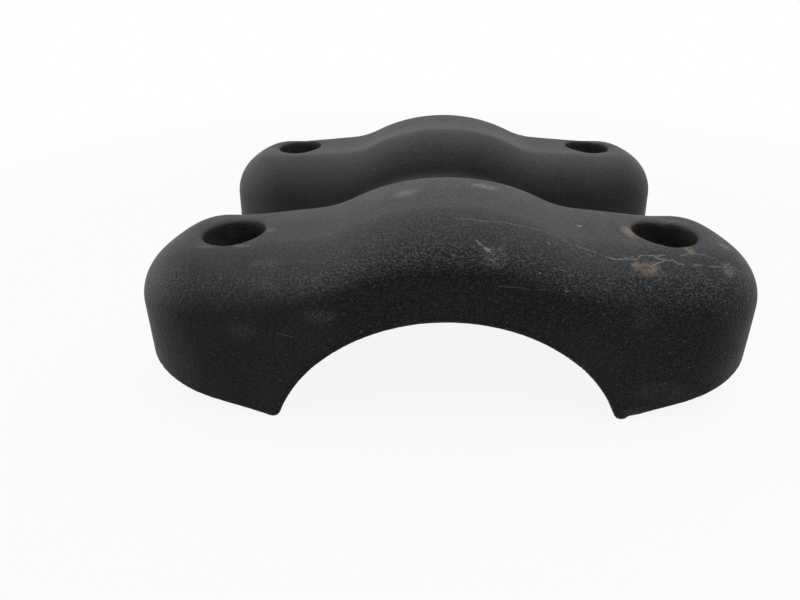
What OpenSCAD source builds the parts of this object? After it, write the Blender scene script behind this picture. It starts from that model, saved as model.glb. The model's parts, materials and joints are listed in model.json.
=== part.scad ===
// Cast u-bolt plate: two arched ridges joined by a saddle web over a round axle seat.
// Millimetres. X runs across the axle, Y along it and Z up, with the feet standing at Z = 0.

/* [Bolt holes] */
// Distance between the two legs of one u-bolt, across the axle
bolt_spacing = 168.3; // [160:0.1:184]
// Distance between the two u-bolts, along the axle
row_spacing = 124; // [116:0.1:150]
// Diameter of each bolt hole
hole_d = 23.8; // [14:0.1:28]

/* [Axle seat] */
// Diameter of the round seat
seat_d = 147; // [136:0.1:152]
// Angle in degrees that the seat wraps round the axle
seat_wrap = 139; // [124:1:144]
// Rounding of each foot, where the seat meets the underside
tip_r = 3.5; // [1:0.5:6]

/* [Ridges] */
// Width across the round ends of a ridge, at the height of the bosses
plate_w = 243; // [230:1:270]
// Thickness of a ridge at its arch, at the height of the bosses
arch_t = 65; // [58:0.5:72]
// Thickness of a ridge at its bosses
ear_t = 58; // [52:0.5:62]
// Height of the bosses above the feet
ear_height = 68; // [62:0.5:80]
// Rise of the ears in degrees, from the bolt towards the crown
ear_slope = 4.4; // [0:0.2:6]
// Height of the crown above the bosses
crown_rise = 15.5; // [10:0.5:22]
// Radius of the crown
crown_r = 89; // [74:1:110]
// Radius of the hollow between crown and ear
blend_r = 42; // [20:1:60]
// Width of the rounding along the outer top edge, at the arch
edge_w = 21; // [12:0.5:24]
// Width of that rounding at the bosses
ear_edge_w = 17; // [10:0.5:20]
// Height of the outer rounding at the arch
edge_h = 17; // [10:0.5:20]
// Height of that rounding at the bosses
ear_edge_h = 21; // [12:0.5:24]
// Width of the rounding along the inner top edge, over the web
inner_edge_w = 12.5; // [6:0.5:16]
// Height of that rounding
inner_edge_h = 22; // [10:0.5:24]
// Rounding over the round ends
end_r = 25.5; // [16:0.5:27]
// Lean of the long walls in degrees, so that the casting leaves its mould
draft = 2; // [0.5:0.5:4]
// Lean of the round ends in degrees
end_draft = 5; // [0.5:0.5:8]

/* [Saddle web] */
// Thickness of the web over the seat
web_t = 10; // [8:0.5:16]
// Fillet where the web meets a ridge
web_fillet = 8; // [3:0.5:12]

/* [Hidden] */
$fn = 96;

// Steps of the ridge's surface: along a side, round an end, over an edge and down a fillet
side_steps = 40;
end_steps = 16;
edge_steps = 6;
fillet_steps = 4;

// The fillet turns this far from the wall, then runs on straight into the web
fillet_turn = 75;
fillet_run = 3;
// Share of the wall above the web that the fillet may take
fillet_share = 0.9;
// Stock below the feet that the axle space trims away
stock = 4;

seat_r = seat_d / 2;
half_wrap = seat_wrap / 2;
web_r = seat_r + web_t;
// Distance along the underside, from the seat axis, at which the foot's rounding starts
foot_out = sqrt((seat_r + tip_r) ^ 2 - tip_r ^ 2);
// The seat axis lies below the feet
axis_z = tip_r * (1 - sin(half_wrap)) - foot_out * cos(half_wrap);

crown_z = ear_height + crown_rise;
// The crown's arc is centred at this height
crown_mid = crown_z - crown_r;
bolt_x = bolt_spacing / 2;
// The hollow's arc touches the crown's arc and the sloping ear, so its centre lies this far from
// crown_mid, square to the ear and along it
hollow_up = blend_r + bolt_x * sin(ear_slope) + (ear_height - crown_mid) * cos(ear_slope);
hollow_out = sqrt((crown_r + blend_r) ^ 2 - hollow_up ^ 2);
hollow_x = hollow_up * sin(ear_slope) + hollow_out * cos(ear_slope);
hollow_z = crown_mid + hollow_up * cos(ear_slope) - hollow_out * sin(ear_slope);
// The crown's arc meets the hollow's arc at crown_end, and the ear starts at hollow_end
crown_end = hollow_x * crown_r / (crown_r + blend_r);
hollow_end = hollow_x - blend_r * sin(ear_slope);
// The web reaches this far across
web_end = web_r * sin(half_wrap);
// The round ends of a ridge are centred here
end_x = (plate_w - ear_t) / 2;
// Longer than the casting, for cuts along the axle and through its height
long_cut = 2 * (row_spacing + arch_t);
tall_cut = 3 * crown_z;

// A step from 0 to 1 with soft ends
function soft_step(t) =
    let (u = min(max(t, 0), 1))
    u * u * (3 - 2 * u);

// Height of a ridge's top line at x
function top_z(x) =
    let (a = abs(x))
    a < crown_end ? crown_mid + sqrt(crown_r ^ 2 - a ^ 2) :
    a < hollow_end ? hollow_z - sqrt(blend_r ^ 2 - (hollow_x - a) ^ 2) :
    ear_height + max(bolt_x - a, 0) * tan(ear_slope);

// A size at x, which changes from the arch to the bosses
function along(arch, ear, x) =
    let (t = (abs(x) - crown_end) / (bolt_x - crown_end))
    arch + (ear - arch) * soft_step(t);

// Half the thickness of a ridge at x, at the height of the bosses
function half_t(x) = along(arch_t, ear_t, x) / 2;

// A size for the wall that faces direction a, eased from the long walls to the round ends
function eased(side, end, a) = side + (end - side) * cos(a) ^ 2;
function lean_at(a) = eased(draft, end_draft, a);
function edge_w_at(x, a) = eased(sin(a) > 0 ? inner_edge_w : along(edge_w, ear_edge_w, x), end_r, a);
function edge_h_at(x, a) = eased(sin(a) > 0 ? inner_edge_h : along(edge_h, ear_edge_h, x), end_r, a);

// How far the leaning wall that faces direction a stands out from x on the middle plane, at height z
function wall(x, a, z) = half_t(x) + (ear_height - z) * tan(lean_at(a));

// Height of the web's top at x, held level past its end
function web_z(x) = axis_z + sqrt(web_r ^ 2 - min(abs(x), web_end) ^ 2);

// How much of the fillet's width is left at x, from all of it at the crown to none at the web's end
function fillet_part(x) = 1 - soft_step((abs(x) - crown_end) / (web_end - crown_end));

// How far the top edge's ellipse turns until it runs into the leaning wall, and the height of that place
function edge_turn(x, a) = atan2(edge_w_at(x, a) * cos(lean_at(a)), edge_h_at(x, a) * sin(lean_at(a)));
function edge_foot(x, a) = top_z(x) - edge_h_at(x, a) * (1 - cos(edge_turn(x, a)));

// Rounded top edge at x in direction a, as points [distance out, height]
function edge_points(x, a) =
    let (turn = edge_turn(x, a))
    let (mid_out = wall(x, a, edge_foot(x, a)) - edge_w_at(x, a) * sin(turn))
    [for (k = [0:edge_steps])
        let (t = turn * k / edge_steps)
        [mid_out + edge_w_at(x, a) * sin(t), top_z(x) - edge_h_at(x, a) * (1 - cos(t))]];

// Wall from below that edge to the stock's foot, with the web's fillet scaled by part
function wall_points(x, a, part) =
    let (edge_z = edge_foot(x, a))
    let (foot_z = min(web_z(x), edge_z - fillet_run))
    let (r = min(web_fillet, (edge_z - foot_z) * fillet_share))
    let (last_out = r * (1 - cos(fillet_turn)) + fillet_run * sin(fillet_turn))
    let (last_z = foot_z + r * (1 - sin(fillet_turn)) - fillet_run * cos(fillet_turn))
    concat(
        [for (k = [0:fillet_steps])
            let (t = fillet_turn * k / fillet_steps)
            let (z = foot_z + r * (1 - sin(t)))
            [wall(x, a, z) + part * r * (1 - cos(t)), z]],
        [[wall(x, a, last_z) + part * last_out, last_z]],
        [[wall(x, a, -stock) + part * last_out, -stock]]);

// Path round a ridge in plan, as [place along the ridge, direction out of it in degrees]
ridge_path = concat(
    [for (i = [0:side_steps]) [end_x * (2 * i / side_steps - 1), -90]],
    [for (i = [1:end_steps - 1]) [end_x, 180 * i / end_steps - 90]],
    [for (i = [0:side_steps]) [end_x * (1 - 2 * i / side_steps), 90]],
    [for (i = [1:end_steps - 1]) [-end_x, 180 * i / end_steps + 90]]);

// One arched ridge on its middle plane, with the web's side towards +Y
module ridge() {
    count = len(ridge_path);
    columns = [for (p = ridge_path)
        let (x = p[0])
        let (a = p[1])
        let (part = a == 90 ? fillet_part(x) : 0)
        [for (q = concat(edge_points(x, a), wall_points(x, a, part)))
            [x + q[0] * cos(a), q[0] * sin(a), q[1]]]];
    rings = len(columns[0]);
    points = [for (column = columns) each column];
    last = rings - 1;

    // Walls between neighbouring columns
    walls = [for (i = [0:count - 1])
        for (k = [0:last - 1])
            let (a = i * rings + k)
            let (b = (i + 1) % count * rings + k)
            each [[a, b, b + 1], [a, b + 1, a + 1]]];

    // The top and the foot are closed in strips across the ridge, and by a fan at each end
    far_side = side_steps + end_steps;
    strips = [for (i = [0:side_steps - 1])
        let (a = i * rings)
        let (b = (i + 1) * rings)
        let (c = (far_side + side_steps - i - 1) * rings)
        let (d = (far_side + side_steps - i) * rings)
        each [[a, d, c], [a, c, b], [a + last, c + last, d + last], [a + last, b + last, c + last]]];
    fans = [for (first = [side_steps, far_side + side_steps])
        for (i = [1:end_steps - 1])
            let (a = first * rings)
            let (b = (first + i) % count * rings)
            let (c = (first + i + 1) % count * rings)
            each [[a, c, b], [a + last, b + last, c + last]]];
    polyhedron(points, concat(walls, strips, fans));
}

// Seat, radial underside and rounded feet, seen along the axle from the seat axis
module axle_outline() {
    reach = plate_w;
    ray = [sin(half_wrap), cos(half_wrap)];
    up = [-ray[1], ray[0]];
    foot = foot_out * ray + tip_r * up;
    inside = seat_r - tip_r;
    circle(seat_r);
    polygon([[0, 0], reach * ray, [reach, -reach], [-reach, -reach], [-reach * ray[0], reach * ray[1]]]);
    for (side = [0, 1])
        mirror([side, 0])
            difference() {
                polygon([inside * ray, foot_out * ray, foot, foot * inside / (seat_r + tip_r)]);
                translate(foot)
                    circle(tip_r);
            }
}

module bolt_holes() {
    for (x = [-1, 1], y = [-1, 1])
        translate([x * bolt_x, y * row_spacing / 2, 0])
            cylinder(d = hole_d, h = tall_cut, center = true);
}

// The whole casting
module u_bolt_plate() {
    color("#2b2d30")
        difference() {
            union() {
                for (turn = [0, 180])
                    rotate([0, 0, turn])
                        translate([0, -row_spacing / 2, 0])
                            ridge();
                translate([0, 0, axis_z])
                    rotate([90, 0, 0])
                        cylinder(r = web_r, h = row_spacing, center = true);
            }
            translate([0, 0, axis_z])
                rotate([90, 0, 0])
                    linear_extrude(long_cut, center = true)
                        axle_outline();
            bolt_holes();
        }
}

u_bolt_plate();
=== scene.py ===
"""Cast u-bolt plate in worn satin black paint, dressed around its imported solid.

The casting's skin follows the same rules as the solid: two arched ridges, a web over a round axle
seat and a bolt hole in each ear. It is drawn finer, with the soft edges and the unevenness of a sand
casting. Sizes are in millimetres unless a name says otherwise.
"""

import json
import logging
import math
from dataclasses import dataclass, fields
from enum import Enum
from functools import reduce
from types import SimpleNamespace
from typing import Iterable

import bpy
from mathutils import Matrix, Vector


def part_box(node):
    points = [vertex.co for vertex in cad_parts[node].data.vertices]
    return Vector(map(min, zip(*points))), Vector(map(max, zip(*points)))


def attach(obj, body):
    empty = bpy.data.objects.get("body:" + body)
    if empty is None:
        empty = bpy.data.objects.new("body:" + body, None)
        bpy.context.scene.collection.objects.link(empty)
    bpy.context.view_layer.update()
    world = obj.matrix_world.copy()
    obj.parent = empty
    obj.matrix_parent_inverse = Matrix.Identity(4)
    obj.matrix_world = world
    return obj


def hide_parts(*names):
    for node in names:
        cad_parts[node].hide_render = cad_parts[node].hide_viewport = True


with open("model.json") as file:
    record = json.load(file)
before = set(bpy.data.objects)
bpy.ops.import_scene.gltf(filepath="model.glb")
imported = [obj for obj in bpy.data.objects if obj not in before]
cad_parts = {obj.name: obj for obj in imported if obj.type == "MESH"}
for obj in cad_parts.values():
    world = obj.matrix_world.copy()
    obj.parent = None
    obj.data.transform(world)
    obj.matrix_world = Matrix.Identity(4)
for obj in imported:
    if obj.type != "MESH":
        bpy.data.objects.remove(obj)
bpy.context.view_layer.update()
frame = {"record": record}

log = logging.getLogger("u_bolt_plate")

METRES = 0.001
NODE = "u_bolt_plate"
UPWARD = "upward"

Point = tuple[float, float, float]
Colour = tuple[float, float, float]
Span = tuple[float, float]


class Number:
    """A number at each point, worked out by the nodes of one node tree."""

    def __init__(self, tree: bpy.types.NodeTree, source: "bpy.types.NodeSocket | float") -> None:
        """Keeps the tree and the socket, or the plain number, that the value comes from."""
        self.tree = tree
        self.source = source

    def feed(self, socket: bpy.types.NodeSocket) -> None:
        """Links this number to a socket, or sets the socket to it."""
        if isinstance(self.source, bpy.types.NodeSocket):
            self.tree.links.new(self.source, socket)
        else:
            socket.default_value = self.source

    def like(self, value: "Number | float") -> "Number":
        """Makes a plain number into one of this tree."""
        return value if isinstance(value, Number) else Number(self.tree, value)

    def math(self, operation: str, *others: "Number | float") -> "Number":
        """Adds one Math node.

        Args:
            operation: The node's operation, such as "MULTIPLY".
            others: What follows this number in the node's inputs.

        Returns:
            The node's result.
        """
        node = self.tree.nodes.new("ShaderNodeMath")
        node.operation = operation
        for socket, value in zip(node.inputs, (self, *others)):
            self.like(value).feed(socket)
        return Number(self.tree, node.outputs[0])

    def ramp(self, low: "Number | float", high: "Number | float") -> "Number":
        """Rises softly from 0 to 1 as this number goes from low to high.

        Args:
            low: Where the result is 0.
            high: Where the result is 1. It may be less than low.

        Returns:
            The soft step.
        """
        node = self.tree.nodes.new("ShaderNodeMapRange")
        node.interpolation_type = "SMOOTHSTEP"
        for name, value in (("Value", self), ("From Min", low), ("From Max", high)):
            self.like(value).feed(node.inputs[name])
        return Number(self.tree, node.outputs[0])

    def __add__(self, other: "Number | float") -> "Number":
        """Adds."""
        return self.math("ADD", other)

    def __radd__(self, other: float) -> "Number":
        """Adds to a plain number."""
        return self.math("ADD", other)

    def __sub__(self, other: "Number | float") -> "Number":
        """Subtracts."""
        return self.math("SUBTRACT", other)

    def __rsub__(self, other: float) -> "Number":
        """Subtracts from a plain number."""
        return self.like(other).math("SUBTRACT", self)

    def __mul__(self, other: "Number | float") -> "Number":
        """Multiplies."""
        return self.math("MULTIPLY", other)

    def __rmul__(self, other: float) -> "Number":
        """Multiplies a plain number."""
        return self.math("MULTIPLY", other)

    def __truediv__(self, other: "Number | float") -> "Number":
        """Divides."""
        return self.math("DIVIDE", other)

    def __neg__(self) -> "Number":
        """Turns the sign round."""
        return self.math("MULTIPLY", -1.0)

    def __abs__(self) -> "Number":
        """Drops the sign."""
        return self.math("ABSOLUTE")


def larger(a: Number, b: "Number | float") -> Number:
    """Takes the larger of two numbers."""
    return a.math("MAXIMUM", b)


def smaller(a: Number, b: "Number | float") -> Number:
    """Takes the smaller of two numbers."""
    return a.math("MINIMUM", b)


def root(a: Number) -> Number:
    """Takes the square root."""
    return a.math("SQRT")


def length(a: Number, b: Number) -> Number:
    """Takes the length of the diagonal over two sides."""
    return root(a * a + b * b)


def blend(start: "Number | float", end: "Number | float", share: Number) -> Number:
    """Goes from one number to another as a share goes from 0 to 1."""
    return start + (end - start) * share


def overlap(a: Number, b: Number, r: "Number | float") -> Number:
    """Keeps what lies in both of two shapes, with the edge between them rounded.

    Args:
        a: Distance outside the first shape.
        b: Distance outside the second shape.
        r: Radius of the edge.

    Returns:
        Distance outside the common shape.
    """
    out_a = a + r
    out_b = b + r
    return smaller(larger(out_a, out_b), 0.0) + length(larger(out_a, 0.0), larger(out_b, 0.0)) - r


def oval_overlap(a: Number, b: Number, width: Number, height: Number) -> Number:
    """Keeps what lies in both of two shapes, with an oval edge between them.

    Args:
        a: Distance outside the first shape.
        b: Distance outside the second shape.
        width: How far the edge reaches into the first shape.
        height: How far it reaches into the second shape.

    Returns:
        Distance outside the common shape, nearly true close to it.
    """
    return overlap(a / width, b / height, 1.0) * smaller(width, height)


def joined(a: Number, b: Number, r: "Number | float") -> Number:
    """Joins two shapes with a fillet between them.

    Args:
        a: Distance outside the first shape.
        b: Distance outside the second shape.
        r: Radius of the fillet.

    Returns:
        Distance outside the joined shape.
    """
    return -overlap(-a, -b, r)


def noise(place: bpy.types.NodeSocket, waves: "Number | float", seed: "Number | float",
          detail: float = 0.0) -> Number:
    """Adds a noise texture.

    Args:
        place: Socket with the point.
        waves: Waves for each unit of length.
        seed: Which noise of that kind to take.
        detail: How much finer noise is laid over it.

    Returns:
        Noise from 0 to 1, mostly near 0.5.
    """
    tree = place.id_data
    node = tree.nodes.new("ShaderNodeTexNoise")
    node.noise_dimensions = "4D"
    tree.links.new(place, node.inputs["Vector"])
    node.inputs["Detail"].default_value = detail
    zero = Number(tree, 0.0)
    zero.like(waves).feed(node.inputs["Scale"])
    zero.like(seed).feed(node.inputs["W"])
    return Number(tree, node.outputs[0])


def split(place: bpy.types.NodeSocket) -> tuple[Number, Number, Number]:
    """Splits a point into its three numbers."""
    tree = place.id_data
    node = tree.nodes.new("ShaderNodeSeparateXYZ")
    tree.links.new(place, node.inputs[0])
    x, y, z = (Number(tree, socket) for socket in node.outputs)
    return x, y, z


def vector_math(operation: str, *values: "bpy.types.NodeSocket | Point | float") -> bpy.types.Node:
    """Adds one Vector Math node.

    Args:
        operation: The node's operation, such as "SUBTRACT".
        values: Its inputs in order, of which the first is a socket.

    Returns:
        The node.
    """
    tree = values[0].id_data
    node = tree.nodes.new("ShaderNodeVectorMath")
    node.operation = operation
    sockets = [socket for socket in node.inputs if socket.enabled]
    for socket, value in zip(sockets, values):
        if isinstance(value, bpy.types.NodeSocket):
            tree.links.new(value, socket)
        else:
            socket.default_value = value
    return node


def mount(name: str) -> dict:
    """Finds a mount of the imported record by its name."""
    return next(m for m in frame["record"]["mounts"] if m["name"] == name)


@dataclass
class CastingSizes:
    """Sizes of the casting, with angles in degrees. Each is an input of the casting's node tree."""

    bolt_spacing: float = mount("u_bolt_holes")["dims"]["spacing_x_mm"]
    row_spacing: float = mount("u_bolt_holes")["dims"]["spacing_y_mm"]
    hole_radius: float = mount("u_bolt_holes")["dims"]["hole_r_mm"]
    seat_radius: float = mount("axle_seat")["dims"]["r_mm"]
    seat_half_wrap: float = 69.5
    foot_radius: float = 3.5
    plate_width: float = 243.0
    arch_thickness: float = 65.0
    ear_thickness: float = 58.0
    ear_height: float = 68.0
    ear_slope: float = 4.4
    crown_rise: float = 15.5
    crown_radius: float = 89.0
    hollow_radius: float = 42.0
    edge_width: float = 21.0
    ear_edge_width: float = 17.0
    edge_height: float = 17.0
    ear_edge_height: float = 21.0
    inner_edge_width: float = 12.5
    inner_edge_height: float = 22.0
    end_radius: float = 25.5
    wall_lean: float = 2.0
    end_lean: float = 5.0
    web_thickness: float = 10.0
    web_fillet: float = 8.0
    seat_lip_radius: float = 1.6
    hole_rim_radius: float = 1.1
    swell_height: float = 0.3
    swell_waves: float = 0.03
    ripple_height: float = 0.1
    ripple_waves: float = 0.11
    chip_radius: float = 4.0
    seed: float = 7.0


class CastingTree:
    """Geometry Nodes tree that makes the casting's skin from the rules of its form."""

    chip_place: Point = (76.0, -94.0, -1.6)
    chip_rim_radius = 0.8
    least_fillet = 0.3
    least_square = 0.000001
    side_change = 6.0
    settle_rounds = 3

    def __init__(self, sizes: CastingSizes, voxel: float, margin: float) -> None:
        """Builds the tree.

        Args:
            sizes: The casting's sizes, which become the tree's inputs.
            voxel: Spacing of the grid that the skin is drawn on.
            margin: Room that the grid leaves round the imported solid.
        """
        self.sizes = sizes
        self.tree = bpy.data.node_groups.new("casting_skin", "GeometryNodeTree")
        self.identifiers: dict[str, str] = {}
        for item in fields(sizes):
            label = item.name.replace("_", " ").capitalize()
            socket = self.tree.interface.new_socket(label, in_out="INPUT", socket_type="NodeSocketFloat")
            self.identifiers[item.name] = socket.identifier
        paint_socket = self.tree.interface.new_socket(
            "Paint", in_out="INPUT", socket_type="NodeSocketMaterial")
        self.paint_identifier = paint_socket.identifier
        self.tree.interface.new_socket("Skin", in_out="OUTPUT", socket_type="NodeSocketGeometry")
        group_input = self.tree.nodes.new("NodeGroupInput")
        self.given = SimpleNamespace(**{
            name: Number(self.tree, socket)
            for name, socket in zip(self.identifiers, group_input.outputs)})
        self.place = self.tree.nodes.new("GeometryNodeInputPosition").outputs[0]
        self.work_out()
        distance = self.distance()
        skin = self.drawn(distance, voxel, margin)
        for _ in range(self.settle_rounds):
            skin = self.settled(skin, distance)
        self.finish(skin, group_input.outputs["Paint"])

    def work_out(self) -> None:
        """Works out the sizes that follow from the given ones."""
        g = self.given
        self.half_wrap = g.seat_half_wrap.math("RADIANS")
        foot_out = root((g.seat_radius + g.foot_radius).math("POWER", 2.0)
                        - g.foot_radius * g.foot_radius)
        self.axis_z = (g.foot_radius * (1.0 - self.half_wrap.math("SINE"))
                       - foot_out * self.half_wrap.math("COSINE"))
        slope = g.ear_slope.math("RADIANS")
        self.ear_rise = slope.math("TANGENT")
        self.bolt_x = g.bolt_spacing / 2.0
        self.crown_mid = g.ear_height + g.crown_rise - g.crown_radius
        both_radii = g.crown_radius + g.hollow_radius
        hollow_up = (g.hollow_radius + self.bolt_x * slope.math("SINE")
                     + (g.ear_height - self.crown_mid) * slope.math("COSINE"))
        hollow_out = root(both_radii * both_radii - hollow_up * hollow_up)
        self.hollow_x = hollow_up * slope.math("SINE") + hollow_out * slope.math("COSINE")
        self.hollow_z = self.crown_mid + hollow_up * slope.math("COSINE") - hollow_out * slope.math("SINE")
        self.hollow_end = self.hollow_x - g.hollow_radius * slope.math("SINE")
        self.crown_end = self.hollow_x * g.crown_radius / both_radii
        self.web_radius = g.seat_radius + g.web_thickness
        self.end_x = (g.plate_width - g.ear_thickness) / 2.0

    def top_height(self, along: Number) -> Number:
        """Finds the height of a ridge's top line.

        Args:
            along: Distance from the middle of the ridge.

        Returns:
            The height: the crown's arc, then the hollow's arc, then the sloping ear.
        """
        g = self.given
        from_hollow = self.hollow_x - along
        crown = self.crown_mid + root(g.crown_radius * g.crown_radius - along * along)
        hollow = self.hollow_z - root(g.hollow_radius * g.hollow_radius - from_hollow * from_hollow)
        ear = g.ear_height + larger(self.bolt_x - along, 0.0) * self.ear_rise
        on_crown = along.math("LESS_THAN", self.crown_end)
        on_ear = along.math("GREATER_THAN", self.hollow_end)
        return crown * on_crown + ear * on_ear + hollow * (1.0 - on_crown - on_ear)

    def ridge(self, along: Number, across: Number, z: Number) -> Number:
        """Finds the distance outside a ridge.

        Args:
            along: Distance from the middle of the ridge, along it.
            across: Distance from the ridge's middle plane.
            z: Height above the feet.

        Returns:
            The distance, with the top edge rounded and the walls leaning.
        """
        g = self.given
        spine = smaller(along, self.end_x)
        past_end = along - spine
        out = length(past_end, across)
        end_share = past_end * past_end / larger(out * out, self.least_square)
        ear_share = spine.ramp(self.crown_end, self.bolt_x)
        half = blend(g.arch_thickness, g.ear_thickness, ear_share) / 2.0
        outer_share = across.ramp(-self.side_change, self.side_change)
        outer_width = blend(g.edge_width, g.ear_edge_width, ear_share)
        outer_height = blend(g.edge_height, g.ear_edge_height, ear_share)
        edge_width = blend(blend(g.inner_edge_width, outer_width, outer_share), g.end_radius, end_share)
        edge_height = blend(blend(g.inner_edge_height, outer_height, outer_share), g.end_radius, end_share)
        lean = blend(g.wall_lean, g.end_lean, end_share).math("RADIANS")
        reach = half + (g.ear_height - z) * lean.math("TANGENT")
        wall = (out - reach) * lean.math("COSINE")
        return oval_overlap(wall, z - self.top_height(spine), edge_width, edge_height)

    def distance(self) -> Number:
        """Finds the distance outside the whole casting, at any point."""
        g = self.given
        x, y, z = split(self.place)
        along = abs(x)
        across = abs(y) - g.row_spacing / 2.0
        above = z - self.axis_z
        from_axis = length(x, above)

        web = larger(from_axis - self.web_radius, across)
        web_end = self.web_radius * self.half_wrap.math("SINE")
        fillet = larger(g.web_fillet * along.ramp(web_end, self.crown_end), self.least_fillet)
        body = joined(self.ridge(along, across, z), web, fillet)

        underside = along * self.half_wrap.math("COSINE") - above * self.half_wrap.math("SINE")
        body = overlap(body, overlap(g.seat_radius - from_axis, underside, g.foot_radius),
                       g.seat_lip_radius)
        hole = g.hole_radius - length(along - self.bolt_x, across)
        body = overlap(body, hole, g.hole_rim_radius)

        chip = vector_math("DISTANCE", self.place, self.chip_place).outputs["Value"]
        body = overlap(body, g.chip_radius - Number(self.tree, chip), self.chip_rim_radius)
        swell = (noise(self.place, g.swell_waves, g.seed) - 0.5) * g.swell_height
        ripple = (noise(self.place, g.ripple_waves, g.seed + 1.0) - 0.5) * g.ripple_height
        return body + swell + ripple

    def drawn(self, distance: Number, voxel: float, margin: float) -> bpy.types.NodeSocket:
        """Draws the skin where the distance is nought.

        Args:
            distance: Distance outside the casting.
            voxel: Spacing of the grid.
            margin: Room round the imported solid.

        Returns:
            Socket with the skin, in millimetres.
        """
        low, high = (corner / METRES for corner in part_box(NODE))
        steps = [math.ceil((high[i] - low[i] + 2 * margin) / voxel) for i in range(3)]
        middle = (low + high) / 2
        half_grid = Vector(steps) * voxel / 2
        cube = self.tree.nodes.new("GeometryNodeVolumeCube")
        (-distance).feed(cube.inputs["Density"])
        cube.inputs["Background"].default_value = -margin
        cube.inputs["Min"].default_value = middle - half_grid
        cube.inputs["Max"].default_value = middle + half_grid
        for axis, count in zip("XYZ", steps):
            cube.inputs[f"Resolution {axis}"].default_value = count + 1
        mesh = self.tree.nodes.new("GeometryNodeVolumeToMesh")
        mesh.inputs["Threshold"].default_value = 0.0
        self.tree.links.new(cube.outputs[0], mesh.inputs["Volume"])
        return mesh.outputs[0]

    def settled(self, skin: bpy.types.NodeSocket, distance: Number) -> bpy.types.NodeSocket:
        """Moves each point of the skin along its normal onto the true surface.

        Args:
            skin: Socket with the skin.
            distance: Distance outside the casting.

        Returns:
            Socket with the settled skin.
        """
        normal = self.tree.nodes.new("GeometryNodeInputNormal").outputs[0]
        back = vector_math("SCALE", normal)
        (-distance).feed(back.inputs["Scale"])
        move = self.tree.nodes.new("GeometryNodeSetPosition")
        self.tree.links.new(skin, move.inputs["Geometry"])
        self.tree.links.new(back.outputs[0], move.inputs["Offset"])
        return move.outputs[0]

    def finish(self, skin: bpy.types.NodeSocket, paint: bpy.types.NodeSocket) -> None:
        """Notes how far the skin faces up, brings it to metres, smooths its shading and paints it.

        Args:
            skin: Socket with the skin in millimetres.
            paint: Socket with the paint.
        """
        facing = self.tree.nodes.new("GeometryNodeStoreNamedAttribute")
        facing.inputs["Name"].default_value = UPWARD
        normal = self.tree.nodes.new("GeometryNodeInputNormal").outputs[0]
        split(normal)[2].feed(facing.inputs["Value"])
        scale = self.tree.nodes.new("GeometryNodeTransform")
        scale.inputs["Scale"].default_value = (METRES,) * 3
        smooth = self.tree.nodes.new("GeometryNodeSetShadeSmooth")
        real = self.tree.nodes.new("GeometryNodeRealizeInstances")
        coat = self.tree.nodes.new("GeometryNodeSetMaterial")
        out = self.tree.nodes.new("NodeGroupOutput")
        for node in (facing, scale, smooth, real, coat, out):
            self.tree.links.new(skin, node.inputs[0])
            skin = node.outputs[0] if node.outputs else None
        self.tree.links.new(paint, coat.inputs["Material"])

    def mesh(self, name: str, paint: bpy.types.Material) -> bpy.types.Mesh:
        """Runs the tree once and keeps its result as a plain mesh.

        Args:
            name: Name of the mesh.
            paint: Material of the skin.

        Returns:
            The mesh, in metres.
        """
        carrier = bpy.data.objects.new("casting_carrier", bpy.data.meshes.new("casting_carrier"))
        bpy.context.scene.collection.objects.link(carrier)
        modifier = carrier.modifiers.new("casting_skin", "NODES")
        modifier.node_group = self.tree
        for item in fields(self.sizes):
            modifier[self.identifiers[item.name]] = getattr(self.sizes, item.name)
        modifier[self.paint_identifier] = paint
        evaluated = carrier.evaluated_get(bpy.context.evaluated_depsgraph_get())
        mesh = bpy.data.meshes.new_from_object(evaluated)
        mesh.name = name
        carrier.modifiers.remove(modifier)
        bpy.data.objects.remove(carrier)
        return mesh


class Wear(Enum):
    """Kinds of wear and dirt on the paint."""

    SCUFF = "scuff"
    RUST = "rust"
    DUST = "dust"


@dataclass(frozen=True)
class Patch:
    """A worn or dirty patch: its kind, its middle, its half-sizes and how strong it is."""

    kind: Wear
    centre: Point
    reach: Point
    strength: float


@dataclass(frozen=True)
class Scratch:
    """A scratch through a few points, with the way its surface faces, its width and how pale it is."""

    points: tuple[Point, ...]
    facing: Point
    width: float
    strength: float


@dataclass(frozen=True)
class Pattern:
    """A noise pattern: its waves per millimetre, its seed, its detail and the span over which it shows."""

    waves: float
    seed: float
    detail: float
    span: Span = (0.0, 1.0)

    def at(self, place: bpy.types.NodeSocket) -> Number:
        """Lays the pattern over a place, as noise from 0 to 1."""
        return noise(place, self.waves, self.seed, self.detail)

    def shown(self, place: bpy.types.NodeSocket) -> Number:
        """Is 1 where the pattern shows at a place and 0 where it doesn't."""
        return self.at(place).ramp(*self.span)


@dataclass(frozen=True)
class WearFinish:
    """How one kind of wear looks: its colour, the speckle that breaks it up, and how much is a stain."""

    kind: Wear
    colour: Colour
    speckle: Pattern
    stain: float


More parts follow.
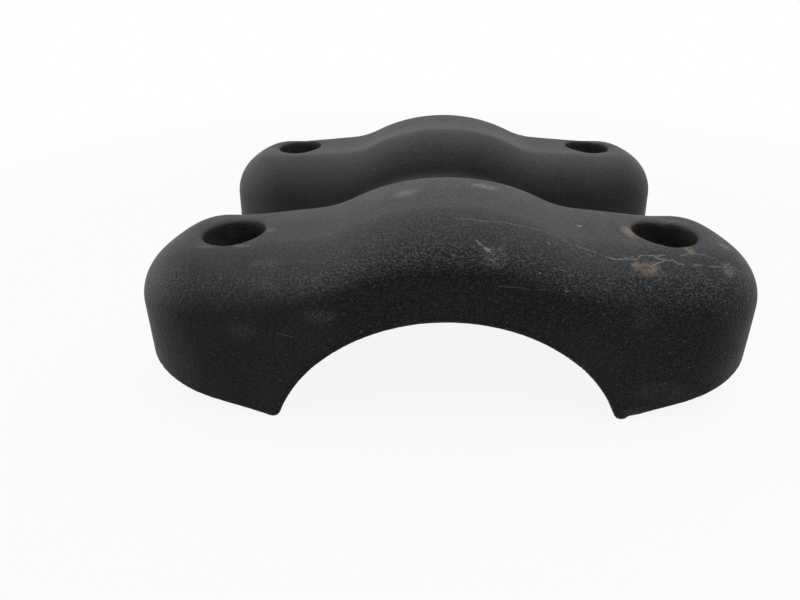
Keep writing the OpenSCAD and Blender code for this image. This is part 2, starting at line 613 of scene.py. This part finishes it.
@dataclass(frozen=True)
class SatinPaint:
    """Satin black paint on a sand-cast skin, greyed where it faces up, with lengths in millimetres.

    Spans named for a side are in terms of how far the skin faces up, from -1 to 1. The grey laid on where the
    skin faces up is a painted sheen: lighter paint that stands in for the reflection of the bright sky and
    lamps above.
    """

    name: str = "satin_black_paint"
    colour: Colour = (0.0066, 0.0065, 0.0067)
    browned: Colour = (0.0120, 0.0100, 0.0086)
    # Grey of the painted sheen: lighter paint where the skin faces up, standing in for reflected light.
    greyed: Colour = (0.088, 0.088, 0.092)
    hole_dark: Colour = (0.0270, 0.0250, 0.0250)
    hole_rust: Colour = (0.0440, 0.0370, 0.0335)
    wear: tuple[WearFinish, ...] = (
        WearFinish(Wear.DUST, (0.190, 0.180, 0.163), Pattern(0.6, 21.0, 2.0, (0.38, 0.60)), 0.35),
        WearFinish(Wear.RUST, (0.200, 0.158, 0.124), Pattern(0.9, 21.0, 2.0, (0.38, 0.60)), 0.35),
        WearFinish(Wear.SCUFF, (0.280, 0.280, 0.285), Pattern(1.9, 21.0, 2.0, (0.50, 0.64)), 0.05),
    )
    browning: Pattern = Pattern(0.04, 3.0, 3.0, (0.45, 0.65))
    hole_rusting: Pattern = Pattern(0.16, 9.0, 3.0, (0.45, 0.68))
    hole_edge: float = 0.5

    painted_sheen_span: Span = (-0.08, 0.7)
    painted_sheen_share: float = 0.445
    least_grey: float = 0.075
    # Painted light on the sides of the ridges that face each other: extra grey there, as if more light fell
    # on them.
    valley_edge: float = 16.0
    painted_inner_light_share: float = 0.215
    patchiness: Pattern = Pattern(0.05, 4.0, 2.0)
    patchy_least: float = 0.8
    patchy_swing: float = 0.4

    # Painted glints: the grit breaks the grey into bright and dark specks, strongest on rounded edges and to
    # the right, as if light grazed from that side.
    grit: Pattern = Pattern(2.3, 14.0, 2.0, (0.42, 0.68))
    grit_stretch: Point = (0.5, 1.0, 1.0)
    grit_least: float = -0.7
    grit_swing: float = 2.0
    grit_wall: float = 1.0
    grit_edge: float = 0.8
    edge_span: Span = (0.0, 0.35)
    grit_top: float = 0.36
    top_span: Span = (0.5, 0.85)
    grit_inner: float = 0.2
    inner_y: Span = (-20.0, 20.0)
    glint_left: float = 0.7
    glint_right: float = 1.3
    right_x: Span = (-90.0, 5.0)
    grit_from_rim: Span = (1.0, 4.0)
    glint: Pattern = Pattern(1.9, 43.0, 1.0, (0.62, 0.74))
    glint_share: float = 0.3
    glint_span: Span = (0.95, 0.45)

    fleck: Pattern = Pattern(0.75, 31.0, 2.0, (0.67, 0.76))
    fleck_strength: float = 0.32
    wobble: Pattern = Pattern(0.4, 17.0, 3.0)
    wobble_reach: float = 0.8
    patch_core: float = 0.7
    scratch_core: float = 0.3
    scratch_least: float = 0.2
    scratch_span: Span = (0.38, 0.56)

    specular: float = 0.05
    roughness: float = 0.45
    worn_roughness: float = 0.75
    unevenness: Pattern = Pattern(0.12, 5.0, 2.0)
    roughness_swing: float = 0.16
    pebble: Pattern = Pattern(1.4, 11.0, 1.0)
    pebble_height: float = 0.6
    grain: Pattern = Pattern(2.8, 13.0, 1.0)
    grain_height: float = 0.08


@dataclass(frozen=True)
class StageFinish:
    """Pale floor, which turns quite white further out from the casting, with lengths in metres."""

    name: str = "pale_floor"
    colour: Colour = (0.66, 0.66, 0.66)
    roughness: float = 0.9
    white_share: float = 0.9
    white_from: float = 0.25
    white_to: float = 0.7


PATCHES = (
    Patch(Wear.RUST, (71.5, -85.5, 64.8), (6.0, 4.0, 4.0), 0.95),
    Patch(Wear.RUST, (67.0, -85.0, 65.6), (3.0, 2.5, 2.5), 0.9),
    Patch(Wear.DUST, (66.6, -84.9, 65.7), (2.2, 1.6, 1.6), 0.8),
    Patch(Wear.RUST, (76.0, -86.5, 63.5), (4.0, 2.0, 2.0), 0.4),
    Patch(Wear.RUST, (69.8, -64.0, 69.0), (3.4, 8.0, 3.0), 0.95),
    Patch(Wear.RUST, (88.2, -76.0, 67.8), (2.4, 4.0, 2.5), 0.8),
    Patch(Wear.RUST, (89.0, -50.0, 68.0), (7.0, 1.8, 2.5), 0.5),
    Patch(Wear.RUST, (-91.0, -75.3, 67.8), (4.5, 1.6, 2.5), 0.5),
    Patch(Wear.RUST, (-77.3, -75.6, 68.4), (4.5, 1.6, 2.5), 0.65),
    Patch(Wear.RUST, (-69.3, -62.5, 69.0), (2.5, 3.5, 2.5), 0.6),
    Patch(Wear.DUST, (15.0, -49.0, 82.2), (8.0, 4.0, 4.0), 0.95),
    Patch(Wear.DUST, (-16.0, -56.0, 82.0), (8.0, 6.0, 4.0), 0.5),
    Patch(Wear.SCUFF, (-17.0, -57.0, 81.9), (6.0, 6.0, 4.0), 0.4),
    Patch(Wear.DUST, (84.0, -93.0, 14.0), (16.0, 6.0, 8.0), 0.08),
    Patch(Wear.DUST, (118.0, -76.0, 30.0), (14.0, 14.0, 26.0), 0.06),
    Patch(Wear.SCUFF, (15.0, -92.3, 72.4), (7.0, 4.0, 7.0), 0.5),
    Patch(Wear.DUST, (104.0, -70.5, 67.0), (3.5, 3.0, 3.0), 0.4),
    Patch(Wear.SCUFF, (104.0, -70.5, 67.0), (4.0, 3.5, 3.5), 0.8),
    Patch(Wear.DUST, (100.8, -83.0, 63.3), (4.0, 3.0, 4.0), 0.35),
    Patch(Wear.SCUFF, (100.8, -83.0, 63.3), (5.0, 3.5, 4.5), 0.8),
    Patch(Wear.SCUFF, (69.4, -62.0, 69.1), (3.0, 6.0, 3.0), 0.5),
    Patch(Wear.SCUFF, (-46.0, -95.0, 49.5), (9.0, 4.0, 5.0), 0.2),
    Patch(Wear.SCUFF, (-77.0, -92.0, 41.5), (8.0, 4.0, 7.0), 0.11),
    Patch(Wear.SCUFF, (-66.0, -84.5, 66.0), (9.0, 3.0, 3.0), 0.22),
    Patch(Wear.SCUFF, (-67.0, -90.0, 60.3), (7.0, 3.0, 4.0), 0.22),
    Patch(Wear.SCUFF, (70.5, -92.5, 47.5), (8.0, 4.0, 6.0), 0.18),
    Patch(Wear.SCUFF, (75.0, -93.7, 4.0), (7.0, 3.0, 4.0), 0.3),
    Patch(Wear.RUST, (-82.0, 75.5, 68.0), (6.0, 2.0, 2.5), 0.6),
    Patch(Wear.RUST, (92.0, 74.0, 67.5), (4.0, 3.0, 2.5), 0.6),
    Patch(Wear.RUST, (-66.0, 86.5, 64.5), (6.0, 4.0, 4.0), 0.7),
    Patch(Wear.SCUFF, (32.0, 94.5, 52.0), (9.0, 4.0, 5.0), 0.3),
    Patch(Wear.SCUFF, (-62.0, 92.8, 32.0), (8.0, 4.0, 7.0), 0.2),
    Patch(Wear.SCUFF, (80.0, 91.5, 44.0), (7.0, 4.0, 6.0), 0.25),
    Patch(Wear.SCUFF, (-13.0, 91.5, 74.0), (5.0, 4.0, 5.0), 0.5),
    Patch(Wear.SCUFF, (123.0, 56.0, 36.0), (4.0, 9.0, 6.0), 0.25),
    Patch(Wear.SCUFF, (-123.0, -54.0, 34.0), (4.0, 8.0, 7.0), 0.2),
    Patch(Wear.SCUFF, (-121.0, 66.0, 44.0), (4.0, 7.0, 6.0), 0.25),
)

SCRATCHES = (
    Scratch(((2, -81.5, 82), (7, -81.5, 82), (12.5, -82, 81), (17.5, -81, 80.5), (25, -80.5, 79),
             (32, -79.5, 77), (39, -78.5, 74), (45, -80, 71.5)), (0.25, -0.3, 0.92), 0.32, 0.42),
    Scratch(((45, -80, 71.5), (49.5, -81, 70), (53, -81.5, 69)), (0.2, -0.3, 0.93), 0.38, 0.45),
    Scratch(((8.5, -89, 77.3), (10.5, -90.3, 76), (12, -91, 75)), (0.1, -0.7, 0.7), 0.42, 0.55),
    Scratch(((11.8, -91.2, 74.8), (12.4, -91.3, 74.7)), (0.1, -0.7, 0.7), 0.7, 0.9),
    Scratch(((13.1, -91.3, 74.6), (13.5, -91.4, 74.5)), (0.1, -0.7, 0.7), 0.95, 1.0),
    Scratch(((50.6, -61.5, 70.8), (51.3, -61.4, 70.7)), (0.1, 0.0, 1.0), 1.3, 1.0),
    Scratch(((34.5, -84.3, 74), (34.9, -84.4, 74)), (0.3, -0.5, 0.8), 0.6, 0.7),
    Scratch(((30.6, -93.3, 66.8), (31.2, -93.2, 67)), (0.15, -0.87, 0.47), 0.5, 0.7),
    Scratch(((40.4, -94.2, 60.4), (41, -94.2, 60.4)), (0.1, -0.98, 0.2), 0.6, 0.5),
    Scratch(((56, -83, 68), (59.5, -83.5, 67.6), (65.5, -83, 67.3), (67, -82.8, 67), (69, -80.8, 67.8),
             (74, -80.6, 67.4), (77.5, -80, 67.4)), (0.1, -0.4, 0.91), 0.45, 0.6),
    Scratch(((63, -82.5, 67.6), (66, -81.8, 67.6)), (0.1, -0.4, 0.91), 0.4, 0.5),
    Scratch(((74, -81.3, 67.1), (76.5, -81.7, 66.6), (78, -81.6, 66.5)), (0.1, -0.4, 0.91), 0.5, 0.6),
    Scratch(((72, -84.5, 65.3), (75, -83.3, 66), (77.5, -82.1, 66.3), (80, -81.8, 66.3), (82, -82.6, 65.7),
             (84, -83, 65.3)), (0.05, -0.5, 0.87), 0.45, 0.6),
    Scratch(((84, -79.4, 67.2), (87, -78.3, 67.4), (93, -79, 67.2)), (0.0, -0.35, 0.93), 0.5, 0.35),
    Scratch(((93, -79, 67.2), (98, -81.8, 65.4), (103, -82, 63), (112.5, -78.5, 58.5)),
            (0.3, -0.45, 0.84), 0.4, 0.3),
    Scratch(((87.6, -83.3, 65.1), (90, -83.2, 65.1)), (0.0, -0.67, 0.74), 0.5, 0.5),
    Scratch(((93.6, -83.4, 64.8), (97, -83.2, 64.5)), (0.15, -0.65, 0.74), 0.45, 0.45),
    Scratch(((17.5, -94.7, 62.5), (24.5, -94.7, 61.8), (27, -94.7, 61.4)), (0.0, -1.0, 0.0), 0.35, 0.25),
    Scratch(((30.5, -94.7, 61), (33.5, -94.7, 61.4)), (0.0, -1.0, 0.0), 0.35, 0.25),
    Scratch(((-63, -93.7, 41.5), (-57.5, -94.3, 40)), (0.0, -1.0, 0.0), 0.35, 0.2),
    Scratch(((-18, 94.6, 62), (-27, 94.6, 61), (-34, 94.5, 60.5)), (0.0, 1.0, 0.0), 0.35, 0.3),
    Scratch(((42, 82.5, 72), (52, 83.5, 69), (61, 83, 67.8), (70, 82, 67.5)), (0.1, 0.4, 0.9), 0.38, 0.4),
    Scratch(((-100, 80, 64.5), (-92, 83.5, 64.5), (-84, 82, 66)), (-0.1, 0.55, 0.83), 0.4, 0.4),
)


class PaintShop:
    """Builds the paint's material from its finish and its wear."""

    off_surface_share = 0.85

    def __init__(self, finish: SatinPaint, sizes: CastingSizes) -> None:
        """Starts the material.

        Args:
            finish: Colours and textures of the paint.
            sizes: Sizes of the casting, which place the rust in its holes.
        """
        self.finish = finish
        self.sizes = sizes
        self.material = bpy.data.materials.new(finish.name)
        self.material.use_nodes = True
        self.tree = self.material.node_tree
        self.shader = self.tree.nodes["Principled BSDF"]
        metres = self.tree.nodes.new("ShaderNodeTexCoord").outputs["Object"]
        self.place = vector_math("SCALE", metres, 1 / METRES).outputs[0]
        self.wobbled = self.wobble()
        self.segment = self.segment_group()

    def wobble(self) -> bpy.types.NodeSocket:
        """Shifts the place a little here and there, so that the edges of the wear come out ragged."""
        shift = self.finish.wobble.at(self.place).source.node.outputs["Color"]
        centred = vector_math("SUBTRACT", shift, (0.5, 0.5, 0.5)).outputs[0]
        scaled = vector_math("SCALE", centred, 2 * self.finish.wobble_reach).outputs[0]
        return vector_math("ADD", self.place, scaled).outputs[0]

    def segment_group(self) -> bpy.types.NodeTree:
        """Makes the node group that finds the distance from a straight piece of a scratch.

        Returns:
            The group, with the place, the two ends and the way the surface faces as its inputs. The
            distance off the surface counts little.
        """
        group = bpy.data.node_groups.new("segment_distance", "ShaderNodeTree")
        for name in ("Place", "Start", "End", "Facing"):
            group.interface.new_socket(name, in_out="INPUT", socket_type="NodeSocketVector")
        group.interface.new_socket("Distance", in_out="OUTPUT", socket_type="NodeSocketFloat")
        # A node that is made before the nodes it needs waits in the renderer's memory, which is small
        place, start, end, facing = group.nodes.new("NodeGroupInput").outputs[:4]
        run = vector_math("SUBTRACT", end, start).outputs[0]
        offset = vector_math("SUBTRACT", place, start).outputs[0]
        share = (Number(group, vector_math("DOT_PRODUCT", offset, run).outputs["Value"])
                 / Number(group, vector_math("DOT_PRODUCT", run, run).outputs["Value"]))
        share = smaller(larger(share, 0.0), 1.0)
        nearest = vector_math("SCALE", run)
        share.feed(nearest.inputs["Scale"])
        beside = vector_math("SUBTRACT", offset, nearest.outputs[0]).outputs[0]
        off = Number(group, vector_math("DOT_PRODUCT", beside, facing).outputs["Value"])
        off = off * self.off_surface_share
        lift = vector_math("SCALE", facing)
        off.feed(lift.inputs["Scale"])
        distance = vector_math("DISTANCE", beside, lift.outputs[0]).outputs["Value"]
        group.links.new(distance, group.nodes.new("NodeGroupOutput").inputs[0])
        return group

    def segment_distance(self, start: Point, end: Point, facing: Point) -> Number:
        """Finds the distance from a straight piece of a scratch.

        Args:
            start: One end of the piece.
            end: The other end.
            facing: The way that the surface faces there.

        Returns:
            The distance.
        """
        node = self.tree.nodes.new("ShaderNodeGroup")
        node.node_tree = self.segment
        self.tree.links.new(self.wobbled, node.inputs["Place"])
        node.inputs["Start"].default_value = start
        node.inputs["End"].default_value = end
        node.inputs["Facing"].default_value = facing
        return Number(self.tree, node.outputs[0])

    def scratched(self, scratch: Scratch, speckle: Number) -> Number:
        """Finds how much of a scratch shows at each point.

        Args:
            scratch: The scratch.
            speckle: The noise that breaks it up.

        Returns:
            How much shows, from 0 to 1.
        """
        pieces = zip(scratch.points, scratch.points[1:])
        distance = reduce(smaller, (
            self.segment_distance(start, end, scratch.facing) for start, end in pieces))
        broken = blend(self.finish.scratch_least, 1.0, speckle.ramp(*self.finish.scratch_span))
        line = distance.ramp(scratch.width, scratch.width * self.finish.scratch_core)
        return line * broken * scratch.strength

    def patched(self, patch: Patch, look: WearFinish, speckle: Number) -> Number:
        """Finds how much of a patch shows at each point.

        Args:
            patch: The patch.
            look: How its kind of wear looks.
            speckle: The noise that breaks it up.

        Returns:
            How much shows, from 0 to 1.
        """
        offset = vector_math("SUBTRACT", self.wobbled, patch.centre).outputs[0]
        scaled = vector_math("DIVIDE", offset, patch.reach).outputs[0]
        inside = 1.0 - Number(self.tree, vector_math("LENGTH", scaled).outputs["Value"])
        cover = blend(look.stain, 1.0, speckle.ramp(*look.speckle.span))
        return inside.ramp(0.0, self.finish.patch_core) * cover * patch.strength

    def worn(self, look: WearFinish) -> Number:
        """Finds how much wear of one kind shows at each point.

        Args:
            look: How that kind of wear looks.

        Returns:
            How much shows, from 0 to 1.
        """
        speckle = look.speckle.at(self.place)
        marks = [self.patched(patch, look, speckle) for patch in PATCHES if patch.kind is look.kind]
        if look.kind is Wear.SCUFF:
            marks += [self.scratched(scratch, speckle) for scratch in SCRATCHES]
            marks.append(self.finish.fleck.shown(self.place) * self.finish.fleck_strength)
        return reduce(larger, marks)

    def from_hole(self) -> Number:
        """Finds the distance from the axis of the nearest bolt hole."""
        x, y, _ = split(self.place)
        return length(abs(x) - self.sizes.bolt_spacing / 2, abs(y) - self.sizes.row_spacing / 2)

    def in_hole(self) -> Number:
        """Is 1 on the walls of the bolt holes and 0 elsewhere."""
        radius = self.sizes.hole_radius
        return self.from_hole().ramp(radius + self.finish.hole_edge, radius)

    def greyed(self, upward: Number) -> Number:
        """Finds how far the paint is greyed by a painted sheen and painted glints.

        Args:
            upward: How far the skin faces up, from -1 to 1.

        Returns:
            The share of grey: a painted sheen, lighter where the skin faces up and on the inner sides of the
                ridges, gritty with painted glints on the sides and smoother on top.
        """
        f = self.finish
        x, y, _ = split(self.place)
        row_y = self.sizes.row_spacing / 2
        # Painted light: the inner sides of the ridges get extra grey.
        valley = abs(y).ramp(row_y, row_y - f.valley_edge)
        # Painted sheen: more grey the more the skin faces up.
        cover = upward.ramp(*f.painted_sheen_span) * f.painted_sheen_share + valley * f.painted_inner_light_share
        patchy = f.patchy_least + f.patchiness.at(self.place) * f.patchy_swing
        # Painted glints of the gritty skin, stronger to the right.
        streaked = vector_math("MULTIPLY", self.place, f.grit_stretch).outputs[0]
        grit = f.grit_least + f.grit.shown(streaked) * f.grit_swing
        depth = blend(f.grit_wall, f.grit_edge, upward.ramp(*f.edge_span))
        depth = blend(depth, f.grit_top, upward.ramp(*f.top_span))
        depth = depth * blend(1.0, f.grit_inner, valley * y.ramp(*f.inner_y))
        depth = depth * blend(f.glint_left, f.glint_right, x.ramp(*f.right_x))
        depth = depth * (self.from_hole() - self.sizes.hole_radius).ramp(*f.grit_from_rim)
        # Painted glints: sparse pale specks where the skin faces partly up.
        glint = f.glint.shown(streaked) * upward.ramp(*f.glint_span) * f.glint_share
        return (cover * patchy + f.least_grey) * (1.0 + grit * depth) + glint * depth

    def colour(self, value: Colour) -> bpy.types.NodeSocket:
        """Adds a plain colour."""
        node = self.tree.nodes.new("ShaderNodeRGB")
        node.outputs[0].default_value = (*value, 1.0)
        return node.outputs[0]

    def mixed(self, under: bpy.types.NodeSocket, over: Colour, share: Number) -> bpy.types.NodeSocket:
        """Lays one colour over another.

        Args:
            under: Socket with the colour below.
            over: The colour on top.
            share: How much of the top colour shows, from 0 to 1.

        Returns:
            Socket with the mix.
        """
        node = self.tree.nodes.new("ShaderNodeMix")
        node.data_type = "RGBA"
        share.feed(node.inputs["Factor"])
        inputs = [socket for socket in node.inputs if socket.enabled and socket.type == "RGBA"]
        self.tree.links.new(under, inputs[0])
        inputs[1].default_value = (*over, 1.0)
        return next(socket for socket in node.outputs if socket.enabled)

    def build(self) -> bpy.types.Material:
        """Paints the casting.

        Returns:
            The material.
        """
        f = self.finish
        attribute = self.tree.nodes.new("ShaderNodeAttribute")
        attribute.attribute_name = UPWARD
        upward = Number(self.tree, attribute.outputs["Fac"])
        paint = self.mixed(self.colour(f.colour), f.browned, f.browning.shown(self.place))
        paint = self.mixed(paint, f.greyed, self.greyed(upward))
        hole = self.in_hole()
        bare = hole
        paint = self.mixed(paint, f.hole_dark, hole)
        paint = self.mixed(paint, f.hole_rust, hole * f.hole_rusting.shown(self.place))
        for look in f.wear:
            share = self.worn(look)
            paint = self.mixed(paint, look.colour, share)
            bare = larger(bare, share)
        self.tree.links.new(paint, self.shader.inputs["Base Color"])
        self.shader.inputs["Specular IOR Level"].default_value = f.specular
        rough = f.roughness + (f.unevenness.at(self.place) - 0.5) * f.roughness_swing
        rough = rough + (f.worn_roughness - f.roughness) * bare
        rough.feed(self.shader.inputs["Roughness"])
        pebble = f.pebble.at(self.place) * f.pebble_height
        grain = f.grain.at(self.place) * f.grain_height
        bump = self.tree.nodes.new("ShaderNodeBump")
        bump.inputs["Strength"].default_value = 1.0
        bump.inputs["Distance"].default_value = METRES
        (pebble + grain).feed(bump.inputs["Height"])
        self.tree.links.new(bump.outputs[0], self.shader.inputs["Normal"])
        return self.material


@dataclass(frozen=True)
class PhotoCamera:
    """Where the photograph was taken from, with angles in degrees and lengths on it in pixels.

    The place and the sensor are in millimetres, and the near clip is in metres.
    """

    place: Point = (-6.3, -256.7, 153.9)
    pitch: float = 30.95
    yaw: float = -1.38
    roll: float = 0.38
    focal: float = 538.2
    axis_column: float = 420.0
    picture_width: float = 800.0
    sensor: float = 36.0
    near_clip: float = 0.01

    def build(self) -> None:
        """Makes the camera and sets it on the scene."""
        data = bpy.data.cameras.new("camera")
        data.sensor_width = self.sensor
        data.lens = self.focal * self.sensor / self.picture_width
        data.shift_x = 0.5 - self.axis_column / self.picture_width
        data.clip_start = self.near_clip
        pitch, yaw, roll = (math.radians(a) for a in (self.pitch, self.yaw, self.roll))
        ahead = Vector((math.sin(yaw) * math.cos(pitch), math.cos(yaw) * math.cos(pitch), -math.sin(pitch)))
        level = Vector((math.cos(yaw), -math.sin(yaw), 0))
        down = ahead.cross(level)
        right = level * math.cos(roll) + down * math.sin(roll)
        up = level * math.sin(roll) - down * math.cos(roll)
        camera = bpy.data.objects.new("camera", data)
        turn = Matrix((right, up, -ahead)).transposed()
        camera.matrix_world = Matrix.Translation(Vector(self.place) * METRES) @ turn.to_4x4()
        bpy.context.scene.collection.objects.link(camera)
        bpy.context.scene.camera = camera


@dataclass(frozen=True)
class Softbox:
    """A soft studio lamp that faces the casting, in metres and watts."""

    name: str
    place: Point
    size: tuple[float, float]
    power: float
    colour: Colour = (1.0, 1.0, 1.0)

    def build(self, target: Vector) -> None:
        """Makes the lamp.

        Args:
            target: The point that it faces.
        """
        data = bpy.data.lights.new(self.name, "AREA")
        data.shape = "RECTANGLE"
        data.size, data.size_y = self.size
        data.energy = self.power
        data.color = self.colour
        lamp = bpy.data.objects.new(self.name, data)
        lamp.location = self.place
        lamp.rotation_euler = (target - Vector(self.place)).to_track_quat("-Z", "Y").to_euler()
        bpy.context.scene.collection.objects.link(lamp)


SOFTBOXES = (
    Softbox("overhead_softbox", (0.12, 0.0, 1.0), (2.0, 2.0), 15.0, (0.96, 0.98, 1.0)),
    Softbox("near_softbox", (0.2, 0.0, 0.5), (0.5, 0.3), 0.6, (0.96, 0.98, 1.0)),
    Softbox("left_softbox", (-1.3, -0.2, 0.2), (0.7, 0.7), 12.5),
)


class Studio:
    """Pale floor, white background and soft lamps."""

    floor_radius = 8.0
    floor_corners = 64
    fill_strength = 0.12
    lit_point: Point = (0.0, 0.0, 0.04)

    def __init__(self, finish: StageFinish) -> None:
        """Keeps the floor's finish.

        Args:
            finish: Colour of the floor.
        """
        self.finish = finish

    def seen_directly(self, tree: bpy.types.NodeTree) -> Number:
        """Is 1 for what the camera sees, also in a mirror or through glass, and 0 for light."""
        path = tree.nodes.new("ShaderNodeLightPath")
        rays = (Number(tree, path.outputs[f"Is {kind} Ray"]) for kind in ("Camera", "Glossy", "Transmission"))
        return reduce(larger, rays)

    def build(self) -> None:
        """Makes the floor, the world and the lamps."""
        self.build_floor()
        self.build_world()
        for softbox in SOFTBOXES:
            softbox.build(Vector(self.lit_point))

    def build_floor(self) -> None:
        """Makes the round floor that the casting stands on."""
        turns = [2 * math.pi * i / self.floor_corners for i in range(self.floor_corners)]
        rim = [(self.floor_radius * math.cos(t), self.floor_radius * math.sin(t), 0.0) for t in turns]
        mesh = bpy.data.meshes.new("floor")
        mesh.from_pydata(rim, [], [range(self.floor_corners)])
        floor = bpy.data.objects.new("floor", mesh)
        bpy.context.scene.collection.objects.link(floor)
        material = bpy.data.materials.new(self.finish.name)
        material.use_nodes = True
        tree = material.node_tree
        shader = tree.nodes["Principled BSDF"]
        shader.inputs["Base Color"].default_value = (*self.finish.colour, 1.0)
        shader.inputs["Roughness"].default_value = self.finish.roughness
        shader.inputs["Specular IOR Level"].default_value = 0.0
        white = tree.nodes.new("ShaderNodeEmission")
        mix = tree.nodes.new("ShaderNodeMixShader")
        x, y, _ = split(tree.nodes.new("ShaderNodeTexCoord").outputs["Object"])
        share = self.finish.white_share
        away = length(x, y).ramp(self.finish.white_from, self.finish.white_to)
        (self.seen_directly(tree) * (share + away * (1.0 - share))).feed(mix.inputs[0])
        tree.links.new(shader.outputs[0], mix.inputs[1])
        tree.links.new(white.outputs[0], mix.inputs[2])
        tree.links.new(mix.outputs[0], tree.nodes["Material Output"].inputs["Surface"])
        mesh.materials.append(material)

    def build_world(self) -> None:
        """Makes the white background and the soft light that comes from all round."""
        world = bpy.data.worlds.new("studio")
        world.use_nodes = True
        tree = world.node_tree
        background = tree.nodes["Background"]
        background.inputs["Color"].default_value = (1.0, 1.0, 1.0, 1.0)
        seen = self.seen_directly(tree)
        (seen + (1.0 - seen) * self.fill_strength).feed(background.inputs["Strength"])
        bpy.context.scene.world = world


@dataclass
class Casting:
    """The casting's skin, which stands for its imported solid."""

    name: str = "cast_saddle"
    voxel: float = 1.48
    margin: float = 4.0

    def build(self) -> bpy.types.Object:
        """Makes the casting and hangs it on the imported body.

        Returns:
            The casting's object.
        """
        sizes = CastingSizes()
        paint = PaintShop(SatinPaint(), sizes).build()
        tree = CastingTree(sizes, self.voxel, self.margin)
        casting = bpy.data.objects.new(self.name, tree.mesh(self.name, paint))
        bpy.context.scene.collection.objects.link(casting)
        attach(casting, "root")
        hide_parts(NODE)
        return casting


def main() -> None:
    """Builds the casting, the camera and the studio, and logs how many faces the casting has."""
    logging.basicConfig(level=logging.INFO, format="%(name)s: %(message)s")
    bpy.context.scene.view_settings.view_transform = "Standard"
    casting = Casting().build()
    log.info("%s has %d faces", casting.name, len(casting.data.polygons))
    PhotoCamera().build()
    Studio(StageFinish()).build()


if __name__ == "__main__":
    main()
